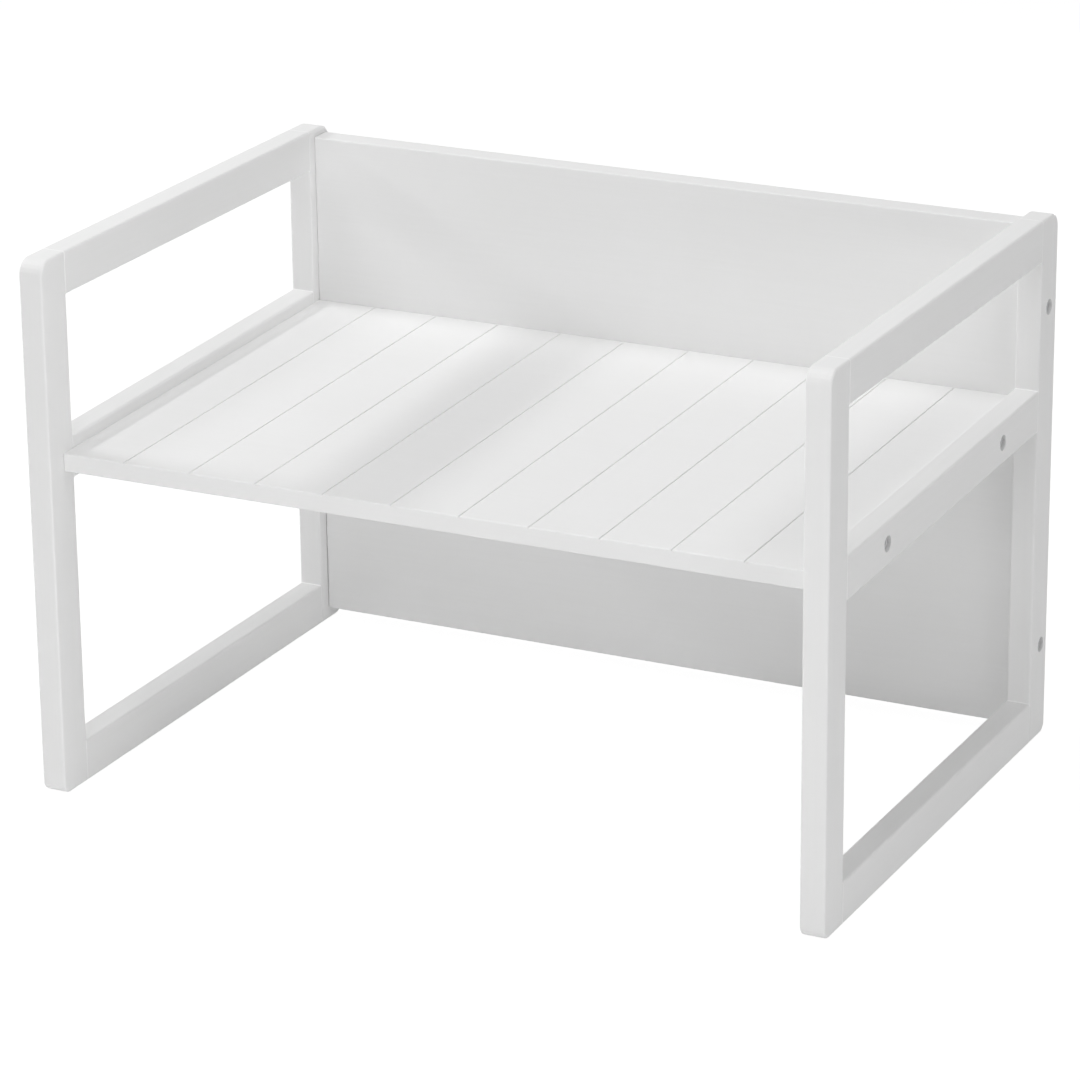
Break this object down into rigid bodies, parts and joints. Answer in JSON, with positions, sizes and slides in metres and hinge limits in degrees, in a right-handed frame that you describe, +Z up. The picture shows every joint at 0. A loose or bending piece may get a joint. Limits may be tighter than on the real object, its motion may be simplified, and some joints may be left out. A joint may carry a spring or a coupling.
{
  "type": "turn-over bench",
  "caption": "Child's turn-over bench: white side frames with rounded posts, a grooved, slightly sloping seat and a plain back board, bolted together; seat height differs each way up.",
  "frame": {"origin": "on the floor, in the middle of the bench's width and depth", "axes": "+X to the right seen from the front, +Y to the rear, where the back board stands, +Z up"},
  "size_m": [0.59, 0.4, 0.385],
  "materials": {
    "frame_paint": "solid wood with satin white paint, edges eased",
    "board_paint": "fibreboard with satin white paint",
    "zinc_steel": "zinc plated steel",
    "beech": "unfinished fluted beech dowel"
  },
  "bodies": {
    "root": {"left_front_post": "frame_paint", "left_rear_post": "frame_paint", "left_top_rail": "frame_paint", "left_seat_rail": "frame_paint", "left_foot_rail": "frame_paint", "right_front_post": "frame_paint", "right_rear_post": "frame_paint", "right_top_rail": "frame_paint", "right_seat_rail": "frame_paint", "right_foot_rail": "frame_paint", "seat_panel": "board_paint", "back_panel": "board_paint", "left_front_seat_bolt": "zinc_steel", "left_rear_seat_bolt": "zinc_steel", "left_upper_back_bolt": "zinc_steel", "left_lower_back_bolt": "zinc_steel", "right_front_seat_bolt": "zinc_steel", "right_rear_seat_bolt": "zinc_steel", "right_upper_back_bolt": "zinc_steel", "right_lower_back_bolt": "zinc_steel", "left_front_seat_nut": "zinc_steel", "left_rear_seat_nut": "zinc_steel", "left_upper_back_nut": "zinc_steel", "left_lower_back_nut": "zinc_steel", "right_front_seat_nut": "zinc_steel", "right_rear_seat_nut": "zinc_steel", "right_upper_back_nut": "zinc_steel", "right_lower_back_nut": "zinc_steel", "left_front_top_rail_dowel_1": "beech", "left_front_top_rail_dowel_2": "beech", "left_rear_top_rail_dowel_1": "beech", "left_rear_top_rail_dowel_2": "beech", "left_front_seat_rail_dowel_1": "beech", "left_front_seat_rail_dowel_2": "beech", "left_rear_seat_rail_dowel_1": "beech", "left_rear_seat_rail_dowel_2": "beech", "left_front_foot_rail_dowel_1": "beech", "left_front_foot_rail_dowel_2": "beech", "left_rear_foot_rail_dowel_1": "beech", "left_rear_foot_rail_dowel_2": "beech", "right_front_top_rail_dowel_1": "beech", "right_front_top_rail_dowel_2": "beech", "right_rear_top_rail_dowel_1": "beech", "right_rear_top_rail_dowel_2": "beech", "right_front_seat_rail_dowel_1": "beech", "right_front_seat_rail_dowel_2": "beech", "right_rear_seat_rail_dowel_1": "beech", "right_rear_seat_rail_dowel_2": "beech", "right_front_foot_rail_dowel_1": "beech", "right_front_foot_rail_dowel_2": "beech", "right_rear_foot_rail_dowel_1": "beech", "right_rear_foot_rail_dowel_2": "beech", "left_front_seat_dowel": "beech", "left_rear_seat_dowel": "beech", "left_upper_back_dowel": "beech", "left_lower_back_dowel": "beech", "right_front_seat_dowel": "beech", "right_rear_seat_dowel": "beech", "right_upper_back_dowel": "beech", "right_lower_back_dowel": "beech"}
  },
  "joints": []
}
